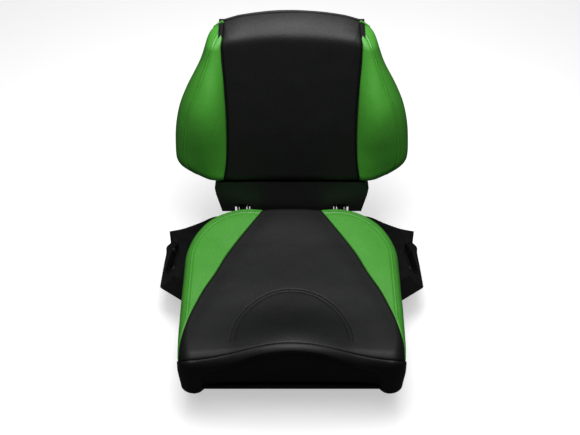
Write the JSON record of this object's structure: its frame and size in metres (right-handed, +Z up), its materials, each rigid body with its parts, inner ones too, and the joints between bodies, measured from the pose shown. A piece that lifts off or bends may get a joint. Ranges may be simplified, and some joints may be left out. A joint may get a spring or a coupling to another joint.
{
  "type": "riding mower operator seat",
  "caption": "High-back operator seat of a riding mower: black and green vinyl cushion and folding backrest, side wings with finger pockets, slide rails with an adjuster bar.",
  "frame": {"origin": "centre of the four mounting holes, on the underside of the lower slide rails", "axes": "+X across the seat, towards the side on the right of a viewer who faces the seat's front; +Y towards the rear; +Z up"},
  "size_m": [0.609, 0.6654, 0.6088],
  "materials": {
    "rail_steel": "black phosphate and thin paint",
    "zinc_steel": "bright zinc plate",
    "spring_steel": "drawn spring wire",
    "acetal": "moulded natural acetal",
    "black_steel": "black powder coat",
    "pan_plastic": "moulded, satin",
    "foam": "cut and moulded polyurethane foam skin",
    "black_vinyl": "grained vinyl, fabric backed",
    "green_vinyl": "grained vinyl, fabric backed",
    "gloss_black_plastic": "moulded, glossy",
    "shell_plastic": "moulded, fine texture",
    "rubber": "moulded rubber",
    "plywood": "sanded birch plywood",
    "switch_plastic": "moulded nylon",
    "plunger_plastic": "moulded nylon",
    "terminal_brass": "tinned brass",
    "black_screw": "black oxide"
  },
  "bodies": {
    "base": {"lower_rail_left": "rail_steel", "lower_rail_right": "rail_steel", "slide_stops": "zinc_steel"},
    "seat": {"upper_rail_left": "rail_steel", "upper_rail_right": "rail_steel", "rail_glides_left": "acetal", "rail_glides_right": "acetal", "stop_pins": "zinc_steel", "pan_standoffs": "black_steel", "rear_cross_tube": "black_steel", "rail_bolts": "zinc_steel", "seat_pan": "pan_plastic", "seat_foam": "foam", "seat_cover_centre": "black_vinyl", "seat_cover_left": "green_vinyl", "seat_cover_right": "green_vinyl", "seat_cover_front": "black_vinyl", "side_wing_left": "gloss_black_plastic", "side_wing_right": "gloss_black_plastic", "wing_screws": "zinc_steel", "hinge_bracket_left": "black_steel", "hinge_bracket_right": "black_steel", "bracket_bolts": "zinc_steel", "pivot_bolt_left": "zinc_steel", "pivot_bolt_right": "zinc_steel", "pivot_nuts": "zinc_steel", "pivot_washers": "zinc_steel", "backrest_stops": "rubber", "switch_body": "switch_plastic", "switch_spring": "spring_steel", "switch_terminals": "terminal_brass", "latch_hangers": "black_steel", "hanger_bolts": "zinc_steel"},
    "plunger": {"switch_plunger": "plunger_plastic"},
    "adjuster": {"adjuster_bar": "black_steel", "adjuster_grip": "shell_plastic", "latch_pawl_left": "zinc_steel", "latch_pawl_right": "zinc_steel", "latch_spring_left": "spring_steel", "latch_spring_right": "spring_steel"},
    "backrest": {"backrest_frame": "black_steel", "pivot_bush_left": "acetal", "pivot_bush_right": "acetal", "backrest_board": "plywood", "board_screws": "zinc_steel", "backrest_shell": "shell_plastic", "shell_screws": "black_screw", "backrest_foam": "foam", "backrest_cover_centre": "black_vinyl", "backrest_cover_left": "green_vinyl", "backrest_cover_right": "green_vinyl"}
  },
  "joints": [
    {"name": "slide_adjust", "type": "slide", "parent": "base", "child": "seat", "axis": [0, -1, 0], "range_m": [-0.075, 0.075]},
    {"name": "backrest_fold", "type": "hinge", "parent": "seat", "child": "backrest", "pos_m": [0, 0.255, 0.14], "axis": [1, 0, 0], "range_deg": [0, 50]},
    {"name": "adjuster_lift", "type": "hinge", "parent": "seat", "child": "adjuster", "pos_m": [0, -0.045, 0.041], "axis": [-1, 0, 0], "range_deg": [0, 6], "stiffness_Nm_per_rad": 3, "springref_deg": -5.73},
    {"name": "switch_press", "type": "slide", "parent": "seat", "child": "plunger", "axis": [0, 0, -1], "range_m": [0, 0.004], "stiffness_N_per_m": 1500, "springref_m": -0.002, "deforming": ["switch_spring"]}
  ]
}
